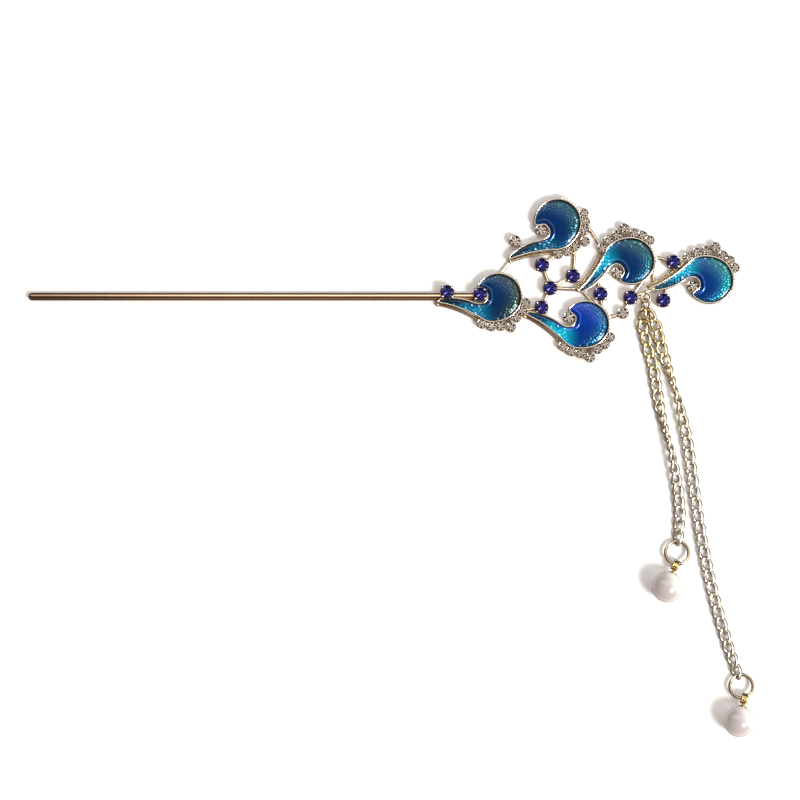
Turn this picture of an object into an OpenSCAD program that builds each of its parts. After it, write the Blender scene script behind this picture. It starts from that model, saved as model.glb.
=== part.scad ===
// Buyao hairpin lying on its back: a round pin, five enamelled waves in a spray set with
// stones, and two chains that carry a pearl drop each. Millimetres, X along the pin, Z up.

/* [Pin] */
// Diameter of the round pin
pin_d = 2; // [1.6:0.1:2.4]
// Length of the pin, from its tip to the middle of the first wave
pin_len = 122; // [90:1:150]

/* [Waves] */
// Radius of the round head of a wave, measured on the enamel
wave_r = 5.8; // [5.4:0.1:6.6]
// Width of the polished rim round the enamel
rim_w = 0.4; // [0.3:0.05:0.6]
// Height of a wave casting
wave_h = 2; // [1.8:0.1:2.6]
// Thickness of the metal under the enamel
floor_t = 0.6; // [0.5:0.05:0.8]
// Height of the rim over the edge of the enamel
rim_over = 0.25; // [0.1:0.05:0.4]
// Height of the crown of the enamel over its edge
crown_h = 0.45; // [0.2:0.05:0.7]
// Diameter of the grains along the back of a wave
grain_d = 0.7; // [0.5:0.05:0.9]

/* [Stones] */
// Diameter of the small clear stones along the crest of a wave
trim_d = 2.1; // [1.8:0.05:2.3]
// Diameter of the single clear stones
clear_d = 2.5; // [2:0.1:2.8]
// Diameter of the blue stones
blue_d = 3.5; // [3:0.1:3.8]
// Wall of a setting round its stone
cup_wall = 0.25; // [0.2:0.05:0.35]
// Diameter of the four prongs round a blue stone
prong_d = 0.5; // [0.4:0.05:0.6]

/* [Wires] */
// Diameter of the wire along the tail of a wave
edge_wire_d = 0.8; // [0.6:0.05:1]
// Diameter of the stems between the waves and the stones
stem_d = 0.9; // [0.7:0.05:1]
// Outer diameter of the eye that carries the chains
eye_d = 2.9; // [2.8:0.05:3.2]
// Diameter of the wire of the eye
eye_wire_d = 0.6; // [0.5:0.05:0.65]

/* [Chains] */
// Outer length of a chain link
link_len = 4.4; // [4.2:0.05:4.8]
// Outer width of a chain link
link_w = 3; // [2.8:0.1:3.4]
// Diameter of the wire of a chain link
link_wire_d = 0.45; // [0.4:0.05:0.5]
// Number of links in the short chain
short_links = 20; // [12:1:24]
// Number of links in the long chain
long_links = 31; // [24:1:36]
// Outer diameter of the ring that joins the chains to the eye
jump_d = 4; // [3.8:0.1:4.6]
// Diameter of the wire of that ring
jump_wire_d = 0.6; // [0.5:0.05:0.65]

/* [Drops] */
// Outer diameter of the ring at the end of a chain
ring_d = 6.8; // [6:0.1:8]
// Diameter of the wire of that ring
ring_wire_d = 0.8; // [0.6:0.05:0.9]
// Diameter of a pearl
pearl_d = 8; // [6.5:0.1:9]
// Diameter of the cap on a pearl
cap_d = 2.2; // [1.8:0.1:3]
// Thickness of the cap
cap_t = 0.4; // [0.3:0.05:0.6]
// Outer diameter of the loop on the cap
loop_d = 2.9; // [2.8:0.05:3.4]
// Diameter of the wire of the loop
loop_wire_d = 0.5; // [0.45:0.05:0.6]

/* [Hidden] */
$fn = 48;

// Clearance between a piece and the seat that holds it
fit = 0.06;
// Clearance between two loose wires that hang in each other
slack = 0.16;
// Clearance between two links of the short and of the long chain, pulled straight
short_play = 0.41;
long_play = 0.31;
// Depth by which soldered pieces run into each other
bite = 0.3;
// Height of the underside of the castings over the table
base_z = 0.5;
// Clearance between a loose piece and the table it lies on
table_gap = 0.02;
// Clearance under the point of a stone, and under its girdle
point_gap = 0.1;
girdle_gap = 0.02;

// Waves: x and y of the head in head radii from the first wave, turn of the tail in degrees,
// hand of the crest, and x and y of the stone beside the tail in head radii
waves = [
    [0, 0, 184.8, 1, 2.26, -0.39],
    [2.65, 3.32, 217.2, 1, 2.02, -0.49],
    [5.94, 1.59, 209.7, -1, 1.92, -0.6],
    [9.47, 0.74, 188.1, -1, 2.19, -0.6],
    [3.91, -1.24, 170, 1, 2.08, -0.4],
];
PIN = 0;
TOP = 1;
MID = 2;
END = 3;
LOW = 4;

// Edge of a wave in head radii: four points of each curve, from the crest round the tail to the lobe
edge_curves = [
    [[-0.5, 0.87], [-0.11, 1.09], [0.47, 1.2], [0.83, 0.85]],
    [[0.83, 0.85], [1.23, 0.56], [1.95, 0.18], [2.67, 0]],
    [[2.66, -0.06], [2.17, -0.13], [1.64, -0.04], [1.19, 0.18]],
    [[1.19, 0.18], [0.83, 0.4], [0.34, 0.29], [0.47, -0.25]],
    [[0.47, -0.25], [0.52, -0.4], [0.9, -0.42], [0.8, -0.6]],
];
curve_steps = 8;
lobe_turn = -37;
crest_turn = 120;
head_steps = 26;
// Stone in the notch, in head radii
notch_at = [0.8, -0.17];
// Ends and middle of the wire along the tail, in head radii
edge_wire_at = [[0.93, 1.02], [1.7, 0.52], [2.74, 0.11]];
// Arc of the back of a wave that carries grains, in degrees
grain_from = 172;
grain_to = 224;

// Crest stones: how many, which one stands out, where it is, and how far the crest swells
trim_count = 7;
trim_out = 3;
trim_turn = 108;
crest_swell = 0.17;
tail_turn = 54;

// Blue and clear stones on stems, in head radii from the first wave
upper_at = [1.96, 1.42];
fork_at = [3.34, 0.92];
branch_at = [2.32, 0.38];
below_eye_at = [5.92, -0.04];
bridge_at = [7.83, 1.55];
low_stem_at = [5.58, -0.74];
eye_at = [6.6, -0.03];

// Cut of a stone: shares of its diameter, and the number of sides of its table
crown_share = 0.15;
pavilion_share = 0.4;
table_share = 0.58;
girdle_t = 0.12;
table_sides = 8;

// Roll of the joining ring out of the plane of the table
jump_roll = 62;

// Heights
seat_z = base_z + floor_t;
rim_z = base_z + wave_h;
trim_lip_z = seat_z + pavilion_share * trim_d + point_gap;
clear_lip_z = seat_z + pavilion_share * clear_d + point_gap;
eye_z = (jump_d - jump_wire_d) / 2 * sin(jump_roll) + jump_wire_d / 2 + table_gap;

// Chains: x, y and roll of the strand along its way, in millimetres and degrees from the eye
short_route = [[-0.7, -8, 0], [0.1, -11, 0], [0.8, -14, 0], [1.9, -17.3, 0],
    [2.3, -20.3, 0], [2.8, -23.3, 10], [3.6, -28.7, 40], [4.3, -31.5, 55], [5, -34.2, 72],
    [6.3, -38.7, 100], [7.5, -44, 130], [8.4, -49.8, 165], [8.9, -56, 190], [8.5, -62, 220],
    [7.9, -68, 225]];
long_route = [[3, -8, -15], [3.6, -11.4, 0], [4.3, -13.7, 16], [5, -15.8, 32],
    [5.8, -18.6, 54], [6.8, -21.5, 76], [7.9, -24.9, 100], [8.8, -28, 122], [9.5, -30.9, 142],
    [10.1, -33.5, 158], [11.1, -39.2, 178], [11.9, -45.2, 180], [12.8, -51.7, 180],
    [13.8, -58.2, 180], [14.9, -64.7, 180], [16.2, -71.2, 180], [17.7, -77.7, 180],
    [19.5, -84.2, 190], [21.5, -90.9, 205], [23.4, -96.5, 220], [25.4, -103, 225]];

// Loose wires: half lengths on the middle line of the wire
link_a = (link_len - link_wire_d) / 2;
link_b = (link_w - link_wire_d) / 2;
link_twist = 50;
link_sides = 12;
wire_sides = 5;
jump_r = (jump_d - jump_wire_d) / 2;
eye_r = (eye_d - eye_wire_d) / 2;
ring_r = (ring_d - ring_wire_d) / 2;
loop_r = (loop_d - loop_wire_d) / 2;

function bezier(p, t) =
    pow(1 - t, 3) * p[0] + 3 * pow(1 - t, 2) * t * p[1] + 3 * (1 - t) * t * t * p[2] + pow(t, 3) * p[3];
function polar(r, a) = [r * cos(a), r * sin(a)];
function turned(p, a) = [p[0] * cos(a) - p[1] * sin(a), p[0] * sin(a) + p[1] * cos(a)];

// Outline of the enamel of a wave, round the head and then along the curves
wave_edge = concat(
    [for (i = [0:head_steps]) polar(wave_r, lobe_turn - i * (360 - crest_turn + lobe_turn) / head_steps)],
    [for (c = edge_curves) for (i = [1:curve_steps]) wave_r * bezier(c, i / curve_steps)]
);
// Place of a point of a wave, given in the wave's own frame in millimetres
function on_wave(w, p) = wave_r * [waves[w][0], waves[w][1]]
    + turned([p[0], p[1] * waves[w][3]], waves[w][2]);
function notch_place(w) = on_wave(w, wave_r * notch_at);
function tail_place(w) = on_wave(w, wave_r * [waves[w][4], waves[w][5]]);
function spray(p) = wave_r * p;

// Crest stones: each sits against the rim a cup's width on from the last
trim_cup_r = trim_d / 2 + cup_wall;
trim_step = (2 * trim_cup_r - cup_wall) / (wave_r + rim_w + trim_cup_r) * 180 / PI;
function crest_r(a) = wave_r * (1 + crest_swell * max(0, crest_turn - a) / (crest_turn - tail_turn));
function trim_angle(i) = trim_turn + (i - trim_out) * trim_step;
function trim_place(i) = polar(
    crest_r(trim_angle(i)) + rim_w + trim_cup_r - bite + (i == trim_out ? trim_cup_r : 0),
    trim_angle(i));

// Radius of the row of grains along the back of a wave
grain_way_r = wave_r + rim_w + grain_d * 0.35;

// Tapered end of the pin that runs under the first wave, from before the tip of its tail
tang_len = 3 * wave_r;
tang_r = 0.8 * pin_d / 2;

// Circle through three points
function circle_centre(a, b, c) = let (
    d = 2 * (a[0] * (b[1] - c[1]) + b[0] * (c[1] - a[1]) + c[0] * (a[1] - b[1])),
    x = (a * a) * (b[1] - c[1]) + (b * b) * (c[1] - a[1]) + (c * c) * (a[1] - b[1]),
    y = (a * a) * (c[0] - b[0]) + (b * b) * (a[0] - c[0]) + (c * c) * (b[0] - a[0])
) [x / d, y / d];

// Places along a strand: a point of the route at a distance along it
function way(route, s, i = 0) = let (
    here = [route[i][0], route[i][1], route[i][2]],
    step = route[i + 1] - here,
    d = norm([step[0], step[1]])
) (s <= d || i == len(route) - 2) ? here + step * s / d : way(route, s - d, i + 1);
// Height of the middle of a link that lies on the table with a given roll
flat_half = link_wire_d / 2 + link_b * 0.42;
edge_half = link_wire_d / 2 + link_b;
function lie_z(roll) = sqrt(pow(flat_half * cos(roll), 2) + pow(edge_half * sin(roll), 2));
// Height over which a strand comes down from its ring to the table
fall_len = 9;
function strand_point(route, s) = let (q = way(route, s), z = lie_z(q[2]))
    [q[0], q[1], z + (route[0][3] - z) * max(0, 1 - max(0, s) / fall_len)];
function strand_dir(route, s) = let (d = strand_point(route, s + link_a / 2)
    - strand_point(route, s - link_a / 2)) d / norm(d);

// The ring that joins the chains hangs in the eye and is rolled about its long way
jump_y = -eye_r + (eye_wire_d + jump_wire_d) / 2 + slack - jump_r;
function jump_point(a) = [jump_r * cos(a) * cos(jump_roll), jump_y + jump_r * sin(a)];
function hook_z(a) = eye_z + jump_r * cos(a) * sin(jump_roll);
short_hook = -118;
long_hook = -64;
short_way = concat([concat(jump_point(short_hook),
    [short_route[0][2], hook_z(short_hook), short_play])], short_route);
long_way = concat([concat(jump_point(long_hook),
    [long_route[0][2], hook_z(long_hook), long_play])], long_route);
hook_in = (link_wire_d + jump_wire_d) / 2 + 2 * slack;
function link_s(route, i) = link_a - hook_in + i * (2 * link_a - link_wire_d - route[0][4]);

// The lower ring hangs in the last link, and the drop's loop hangs in the ring: height of the
// ring's far side, turns of the two drops, neck of the loop, and the peg in a pearl
far_z = 1.9;
drop_turns = [-113, -105];
neck_len = 0.7;
peg_r = 0.35;
peg_len = 2.4;
drop_len = loop_r + neck_len + cap_t + pearl_d / 2;
loop_in = loop_r - (loop_wire_d + ring_wire_d) / 2 - 1.5 * slack;
drop_rise = asin((pearl_d / 2 - far_z) / (drop_len + loop_in));
function near_point(route, n) = let (s = link_s(route, n - 1), d = strand_dir(route, s))
    strand_point(route, s) + d * (link_a - (link_wire_d + ring_wire_d) / 2 - 2 * slack);
function ring_turn(route, n) = let (d = strand_dir(route, link_s(route, n - 1))) atan2(d[1], d[0]);
function ring_pitch(route, n) = asin((far_z - near_point(route, n)[2]) / (2 * ring_r));
function along(turn, rise) = [cos(turn) * cos(rise), sin(turn) * cos(rise), sin(rise)];
function ring_centre(route, n) = near_point(route, n)
    + ring_r * along(ring_turn(route, n), ring_pitch(route, n));
function far_point(route, n) = near_point(route, n)
    + 2 * ring_r * along(ring_turn(route, n), ring_pitch(route, n));
function pearl_centre(route, n, turn) = far_point(route, n)
    + (drop_len + loop_in) * along(turn, drop_rise);

// The origin is under the middle of the whole piece
eye_place = spray(eye_at);
right_x = eye_place[0] + ring_centre(long_way, long_links)[0] + ring_d / 2;
top_y = wave_r * waves[TOP][1] + grain_way_r + grain_d / 2;
bottom_y = eye_place[1] + pearl_centre(long_way, long_links, drop_turns[1])[1] - pearl_d / 2;
middle = [(right_x - pin_len) / 2, (top_y + bottom_y) / 2, 0];

// Settings of the single stones: place, and lift over the castings' floor
pin_lift = pin_d / 2 - bite;
blue_rows = [
    [notch_place(PIN), pin_lift], [tail_place(PIN), pin_lift], [spray(upper_at), 0],
    [spray(fork_at), 0], [spray(branch_at), 0], [tail_place(LOW), 0], [tail_place(MID), 0],
    [spray(below_eye_at), 0], [tail_place(END), 0], [spray(bridge_at), 0],
];
clear_rows = [notch_place(TOP), tail_place(TOP), notch_place(MID), notch_place(END),
    notch_place(LOW), spray(low_stem_at)];
blue_girdle_z = seat_z + pavilion_share * blue_d + point_gap;
// A blue stone's cup stops under the girdle, which is free but for the prongs
cup_drop = 0.55;
blue_cup_r = blue_d / 2 + cup_wall / 2;
blue_seat_r = blue_d / 2 * (1 - cup_drop / (pavilion_share * blue_d)) + 2 * fit;
prong_at_r = blue_d / 2 + prong_d * 0.4;
prong_over = 0.4;
clear_cup_r = clear_d / 2 + cup_wall;

// How far a stem stops from a place: inside the wall of the setting that stands there, if any
function stem_gap(p) = len([for (row = blue_rows) if (row[0] == p) 1]) > 0 ? blue_cup_r - 2 * bite
    : len([for (c = clear_rows) if (c == p) 1]) > 0 ? clear_cup_r - 2 * bite
    : 0;

// Stems: the two ends of each, in millimetres
stems = [
    [spray(upper_at), on_wave(TOP, trim_place(0))],
    [spray(upper_at), spray(branch_at)],
    [spray(fork_at), spray(branch_at)],
    [spray(fork_at), on_wave(TOP, trim_place(2))],
    [spray(branch_at), tail_place(LOW)],
    [spray(branch_at), on_wave(MID, wave_r * edge_wire_at[2])],
    [tail_place(LOW), on_wave(PIN, trim_place(5))],
    [tail_place(LOW), on_wave(LOW, wave_r * [2.1, 0.02])],
    [on_wave(TOP, wave_r * edge_wire_at[2]), on_wave(PIN, polar(wave_r, 262))],
    [on_wave(MID, wave_r * [2.6, 0]), on_wave(LOW, polar(wave_r, 250))],
    [tail_place(MID), on_wave(MID, wave_r * [1.7, 0.1])],
    [tail_place(MID), on_wave(LOW, polar(wave_r, 232))],
    [spray(below_eye_at), on_wave(MID, polar(wave_r, 240))],
    [spray(below_eye_at), spray(low_stem_at)],
    [spray(low_stem_at), on_wave(LOW, polar(wave_r, 205))],
    [spray(below_eye_at), spray(eye_at) + [0, eye_r]],
    [spray(bridge_at), on_wave(MID, polar(wave_r, 196))],
    [spray(bridge_at), on_wave(END, wave_r * [1.6, 0.3])],
    [tail_place(END), on_wave(END, wave_r * [1.95, 0])],
    [tail_place(TOP), on_wave(TOP, wave_r * [1.9, 0])],
    [on_wave(MID, polar(wave_r, 228)), on_wave(END, wave_r * [2.5, 0])],
    [on_wave(LOW, wave_r * [2.6, 0]), on_wave(PIN, trim_place(6))],
    [on_wave(TOP, trim_place(5)), on_wave(MID, trim_place(0))],
];

module in_wave(w) {
    translate([wave_r * waves[w][0], wave_r * waves[w][1], 0])
        rotate([0, 0, waves[w][2]])
            mirror([0, waves[w][3] < 0 ? 1 : 0, 0])
                children();
}

module at_place(p, z) {
    translate([p[0], p[1], z]) children();
}

// Body of a wave: the tray with its rim, and the raised back that carries the grains
module wave_body() {
    translate([0, 0, base_z])
        linear_extrude(wave_h) {
            offset(delta = rim_w) polygon(wave_edge);
            intersection() {
                translate(polar(grain_d * 0.8, (grain_from + grain_to) / 2)) circle(wave_r + rim_w);
                polygon([[0, 0], polar(3 * wave_r, grain_from - 8), polar(3 * wave_r, grain_to + 8)]);
            }
        }
    grains = floor((grain_to - grain_from) * PI / 180 * grain_way_r / (grain_d * 1.15));
    for (i = [0:grains])
        at_place(polar(grain_way_r, grain_from + (grain_to - grain_from) * i / grains), base_z)
            cylinder(d = grain_d, h = wave_h + grain_d * 0.3);
}

// Wire along the tail, an arc through its ends and middle, with a bead at its tail end
module edge_wire() {
    a = wave_r * edge_wire_at[0];
    b = wave_r * edge_wire_at[1];
    c = wave_r * edge_wire_at[2];
    m = circle_centre(a, b, c);
    from = atan2(a[1] - m[1], a[0] - m[0]);
    turn = atan2(c[1] - m[1], c[0] - m[0]) - from;
    sweep = turn > 180 ? turn - 360 : turn < -180 ? turn + 360 : turn;
    at_place(m, edge_wire_d / 2)
        rotate([0, 0, sweep < 0 ? from + sweep : from])
            rotate_extrude(angle = abs(sweep))
                translate([norm(a - m), 0]) circle(d = edge_wire_d);
    at_place(c, edge_wire_d * 0.15) cylinder(d = edge_wire_d * 1.4, h = edge_wire_d * 1.2);
}

module trim_cups() {
    for (i = [0:trim_count - 1])
        at_place(trim_place(i), base_z) cylinder(r = trim_cup_r, h = trim_lip_z - base_z);
    rotate([0, 0, trim_turn])
        translate([wave_r, -trim_cup_r / 2, base_z])
            cube([norm(trim_place(trim_out)) - wave_r, trim_cup_r, floor_t]);
}

module trim_seats() {
    for (i = [0:trim_count - 1])
        at_place(trim_place(i), seat_z) cylinder(r = trim_d / 2 + fit, h = trim_lip_z);
}

module blue_setting(gap = 0, rise = 0) {
    cylinder(r = blue_cup_r + gap, h = blue_girdle_z - cup_drop - base_z + rise);
    for (a = [45:90:315])
        at_place(polar(prong_at_r, a), 0)
            cylinder(d = prong_d + 2 * gap, h = blue_girdle_z + prong_over - base_z + rise);
}

module blue_seat() {
    translate([0, 0, seat_z]) cylinder(r = blue_seat_r, h = blue_girdle_z);
    translate([0, 0, blue_girdle_z - girdle_t * 3])
        cylinder(r = blue_d / 2 + fit, h = girdle_t * 5);
}

module stem(p, q) {
    at_place(p, stem_d / 2)
        rotate([0, 90, atan2(q[1] - p[1], q[0] - p[0])])
            translate([0, 0, stem_gap(p)])
                cylinder(d = stem_d, h = norm(q - p) - stem_gap(p) - stem_gap(q));
}

module wire_ring(r, d) {
    rotate_extrude() translate([r, 0]) circle(d = d, $fn = 24);
}

// Pin: a round rod with a rounded tip and a tapered tang, turned from its half outline
module pin() {
    tip_steps = 5;
    translate([-pin_len, 0, pin_d / 2])
        rotate([0, 90, 0])
            rotate_extrude()
                polygon(concat(
                    [for (i = [0:tip_steps]) pin_d / 2
                        * [sin(i * 90 / tip_steps), 1 - cos(i * 90 / tip_steps)]],
                    [[pin_d / 2, pin_len - tang_len], [tang_r, pin_len], [0, pin_len]]));
}

// Arms at the height of the eye, from the stone before it and from the tail above it
module eye_arm(p, q) {
    at_place(p, eye_z)
        rotate([0, 90, atan2(q[1] - p[1], q[0] - p[0])])
            cylinder(d = eye_wire_d * 1.2, h = norm(q - p));
}

// Hollows for the enamel, which leave the settings standing
module recesses() {
    difference() {
        for (w = [PIN:LOW]) in_wave(w)
            translate([0, 0, seat_z]) linear_extrude(rim_z) polygon(wave_edge);
        for (row = blue_rows) at_place(row[0], base_z + row[1]) blue_setting(fit / 2, fit);
    }
}

module frame() {
    color("palegoldenrod")
        translate(-middle)
            difference() {
                union() {
                    difference() {
                        union() {
                            pin();
                            for (w = [PIN:LOW]) in_wave(w) {
                                wave_body();
                                edge_wire();
                                trim_cups();
                            }
                            for (p = clear_rows)
                                at_place(p, base_z)
                                    cylinder(r = clear_cup_r, h = clear_lip_z - base_z);
                            for (row = blue_rows) at_place(row[0], base_z + row[1]) blue_setting();
                            for (s = stems) stem(s[0], s[1]);
                            eye_arm(on_wave(END, wave_r * [2.5, 0]), eye_place + [0, eye_r]);
                        }
                        recesses();
                    }
                    at_place(eye_place, eye_z) wire_ring(eye_r, eye_wire_d);
                    eye_arm(spray(below_eye_at) + [blue_cup_r - bite, 0], eye_place - [eye_r, 0]);
                }
                for (w = [PIN:LOW]) in_wave(w) trim_seats();
                for (row = blue_rows) at_place(row[0], row[1]) blue_seat();
                for (p = clear_rows)
                    at_place(p, seat_z) cylinder(r = clear_d / 2 + fit, h = clear_lip_z);
            }
}

// Enamel of a wave: level in the tail, crowned over the head, and clear of the settings
module enamel(w, tint) {
    level = wave_h - floor_t - rim_over - fit;
    cap_r = (wave_r * wave_r + crown_h * crown_h) / (2 * crown_h);
    color(tint)
        translate(-middle)
            difference() {
                in_wave(w)
                    translate([0, 0, seat_z + fit]) {
                        linear_extrude(level) offset(delta = -fit) polygon(wave_edge);
                        intersection() {
                            linear_extrude(level + 2 * crown_h) offset(delta = -fit) polygon(wave_edge);
                            translate([0, 0, level + crown_h - cap_r]) sphere(r = cap_r, $fn = 128);
                        }
                    }
                for (row = blue_rows) at_place(row[0], base_z) blue_setting(2 * fit, wave_h);
                for (p = clear_rows)
                    at_place(p, base_z) cylinder(r = clear_cup_r + 2 * fit, h = 2 * wave_h);
            }
}

// Cut stone, its girdle at height 0: a table, a crown of three facets to each side, and a point
module cut_stone(d) {
    n = table_sides;
    function ring(r, z, first, count) = [for (i = [0:count - 1]) [r * cos(first + i * 360 / count),
        r * sin(first + i * 360 / count), z]];
    points = concat(
        ring(table_share * d / 2, girdle_t + crown_share * d, 180 / n, n),
        ring(d / 2, girdle_t, 0, 2 * n),
        ring(d / 2, 0, 0, 2 * n),
        [[0, 0, -pavilion_share * d]]);
    faces = concat(
        [[for (i = [n - 1:-1:0]) i]],
        [for (i = [0:n - 1]) [i, n + 2 * i + 1, n + 2 * i]],
        [for (i = [0:n - 1]) [i, n + (2 * i + 2) % (2 * n), n + 2 * i + 1]],
        [for (i = [0:n - 1]) [i, (i + 1) % n, n + (2 * i + 2) % (2 * n)]],
        [for (i = [0:2 * n - 1]) [n + i, n + (i + 1) % (2 * n), 3 * n + (i + 1) % (2 * n), 3 * n + i]],
        [for (i = [0:2 * n - 1]) [3 * n + i, 3 * n + (i + 1) % (2 * n), 5 * n]]);
    polyhedron(points, faces);
}

module blue_stone(i) {
    color("midnightblue")
        translate(-middle)
            at_place(blue_rows[i][0], blue_girdle_z + blue_rows[i][1]) cut_stone(blue_d);
}

module clear_stone(i) {
    color("gainsboro")
        translate(-middle)
            at_place(clear_rows[i], clear_lip_z - girdle_gap) cut_stone(clear_d);
}

module trim_stones(w) {
    color("gainsboro")
        translate(-middle)
            in_wave(w)
                for (i = [0:trim_count - 1])
                    at_place(trim_place(i), trim_lip_z - girdle_gap) cut_stone(trim_d);
}

// Link: an oval of wire whose two ends are turned a quarter against each other
module link() {
    function mid(t) = let (turn = link_twist * cos(t))
        [link_a * cos(t), link_b * sin(t) * cos(turn), link_b * sin(t) * sin(turn)];
    function section(t) = let (
        c = mid(t),
        run = mid(t + 1) - mid(t - 1),
        out = [c[0] / link_a / link_a, c[1] / link_b / link_b, c[2] / link_b / link_b],
        side = cross(run, out) / norm(cross(run, out)),
        up = cross(side, run) / norm(run)
    ) [for (k = [0:wire_sides - 1]) c + link_wire_d / 2
        * (up * cos(k * 360 / wire_sides) + side * sin(k * 360 / wire_sides))];
    points = [for (j = [0:link_sides - 1]) each section((j + 0.5) * 360 / link_sides)];
    n = wire_sides;
    function at(j, k) = (j % link_sides) * n + k % n;
    polyhedron(points, [for (j = [0:link_sides - 1]) for (k = [0:n - 1])
        [at(j, k), at(j + 1, k), at(j + 1, k + 1), at(j, k + 1)]]);
}

module strand(route, count) {
    color("khaki")
        translate(-middle)
            for (i = [0:count - 1]) {
                s = link_s(route, i);
                d = strand_dir(route, s);
                at_place(eye_place, 0)
                    translate(strand_point(route, s))
                        rotate([0, -asin(d[2]), atan2(d[1], d[0])])
                            rotate([way(route, s)[2], 0, 0])
                                link();
            }
}

module jump_ring() {
    color("khaki")
        translate(-middle)
            at_place(eye_place + [0, jump_y], eye_z)
                rotate([0, -jump_roll, 0]) wire_ring(jump_r, jump_wire_d);
}

module lower_ring(route, count) {
    color("khaki")
        translate(-middle)
            at_place(eye_place, 0)
                translate(ring_centre(route, count))
                    rotate([0, -ring_pitch(route, count), ring_turn(route, count)])
                        wire_ring(ring_r, ring_wire_d);
}

module in_drop(route, count, turn) {
    translate(-middle)
        at_place(eye_place, 0)
            translate(pearl_centre(route, count, turn))
                rotate([0, 90 + drop_rise, turn + 180])
                    children();
}

// Cap: a dished disc with a peg for the pearl's hole, and a loop on a short neck
module cap(route, count, turn) {
    color("gold")
        in_drop(route, count, turn) {
            difference() {
                translate([0, 0, pearl_d / 2 - cap_t / 2]) cylinder(d = cap_d, h = 1.5 * cap_t);
                sphere(d = pearl_d + 2 * fit);
            }
            translate([0, 0, pearl_d / 2 - peg_len]) cylinder(r = peg_r, h = peg_len + cap_t / 2);
            translate([0, 0, pearl_d / 2 + cap_t / 2])
                cylinder(d = loop_wire_d * 1.3, h = cap_t / 2 + neck_len);
            translate([0, 0, drop_len])
                rotate([90, 0, 0]) wire_ring(loop_r, loop_wire_d);
        }
}

module pearl(route, count, turn) {
    color("white")
        in_drop(route, count, turn)
            difference() {
                sphere(d = pearl_d);
                translate([0, 0, pearl_d / 2 - peg_len - fit]) cylinder(r = peg_r + fit, h = 2 * peg_len);
            }
}

frame();
enamel(PIN, "teal");  // enamel_pin
enamel(TOP, "royalblue");  // enamel_top
enamel(MID, "teal");  // enamel_mid
enamel(END, "teal");  // enamel_end
enamel(LOW, "royalblue");  // enamel_low
trim_stones(PIN);  // trim_pin
trim_stones(TOP);  // trim_top
trim_stones(MID);  // trim_mid
trim_stones(END);  // trim_end
trim_stones(LOW);  // trim_low
blue_stone(0);  // blue_notch
blue_stone(1);  // blue_pin
blue_stone(2);  // blue_upper
blue_stone(3);  // blue_fork
blue_stone(4);  // blue_branch
blue_stone(5);  // blue_low_tail
blue_stone(6);  // blue_mid_tail
blue_stone(7);  // blue_eye
blue_stone(8);  // blue_end_tail
blue_stone(9);  // blue_bridge
clear_stone(0);  // clear_top_notch
clear_stone(1);  // clear_top_tail
clear_stone(2);  // clear_mid_notch
clear_stone(3);  // clear_end_notch
clear_stone(4);  // clear_low_notch
clear_stone(5);  // clear_low_stem
jump_ring();
strand(short_way, short_links);  // chain_short
strand(long_way, long_links);  // chain_long
lower_ring(short_way, short_links);  // ring_short
lower_ring(long_way, long_links);  // ring_long
cap(short_way, short_links, drop_turns[0]);  // cap_short
cap(long_way, long_links, drop_turns[1]);  // cap_long
pearl(short_way, short_links, drop_turns[0]);  // pearl_short
pearl(long_way, long_links, drop_turns[1]);  // pearl_long
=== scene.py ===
"""Looks of the buyao hairpin: polished gold, enamel, cut stones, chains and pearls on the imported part."""

import math

import bpy
import numpy as np
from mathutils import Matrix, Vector
from mathutils.kdtree import KDTree


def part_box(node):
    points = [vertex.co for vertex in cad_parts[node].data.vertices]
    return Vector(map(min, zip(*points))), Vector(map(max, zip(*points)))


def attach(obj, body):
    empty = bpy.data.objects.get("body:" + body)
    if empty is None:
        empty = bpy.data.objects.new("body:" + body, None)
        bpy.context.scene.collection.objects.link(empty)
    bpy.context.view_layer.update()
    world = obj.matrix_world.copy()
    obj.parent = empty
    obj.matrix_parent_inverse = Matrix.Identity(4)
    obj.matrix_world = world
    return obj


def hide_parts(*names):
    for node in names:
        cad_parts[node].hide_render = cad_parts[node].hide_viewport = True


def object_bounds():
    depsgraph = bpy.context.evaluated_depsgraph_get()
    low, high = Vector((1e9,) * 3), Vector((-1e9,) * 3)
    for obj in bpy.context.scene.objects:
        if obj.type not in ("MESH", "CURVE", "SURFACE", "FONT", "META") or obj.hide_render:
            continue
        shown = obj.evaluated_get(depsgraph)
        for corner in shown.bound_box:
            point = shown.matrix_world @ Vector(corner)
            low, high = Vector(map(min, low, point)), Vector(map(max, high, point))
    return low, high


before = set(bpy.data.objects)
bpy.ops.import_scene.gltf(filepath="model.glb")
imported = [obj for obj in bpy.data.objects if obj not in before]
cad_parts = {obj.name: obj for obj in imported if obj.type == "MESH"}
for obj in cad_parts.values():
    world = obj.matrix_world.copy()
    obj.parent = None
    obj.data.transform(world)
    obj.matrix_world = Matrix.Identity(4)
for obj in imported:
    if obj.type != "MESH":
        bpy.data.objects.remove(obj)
cad_box = [list(corner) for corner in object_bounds()]

# Table, sky and camera
# The piece lies on white paper in a pale room and is seen from straight above, +Y up the picture.
# The sky is bright beyond the top of the picture, brown below it and dark round the camera, and the
# metal shows the paper as a painted reflection: to glossy rays the paper glows a dim brown.
# Sizes are in millimetres, and MM turns them into metres.
MM = 0.001
VIEW_W = 208.0
VIEW_AT = (2.27, 17.17)
LENS = 150.0
SENSOR_W = 36
TABLE_W = 3000.0
PAPER_DROP = 0.06
PAPER = (0.9, 0.89, 0.89, 1)
PAPER_LIFT = 0.08
PAPER_PAINTED_IN_METAL = (0.16, 0.12, 0.1, 1)
KEY_FROM = (0.42, -0.3, 0.62)
KEY_SPREAD = 20
KEY_POWER = 3.3
KEY_COLOUR = (1.0, 0.97, 0.93)
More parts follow.
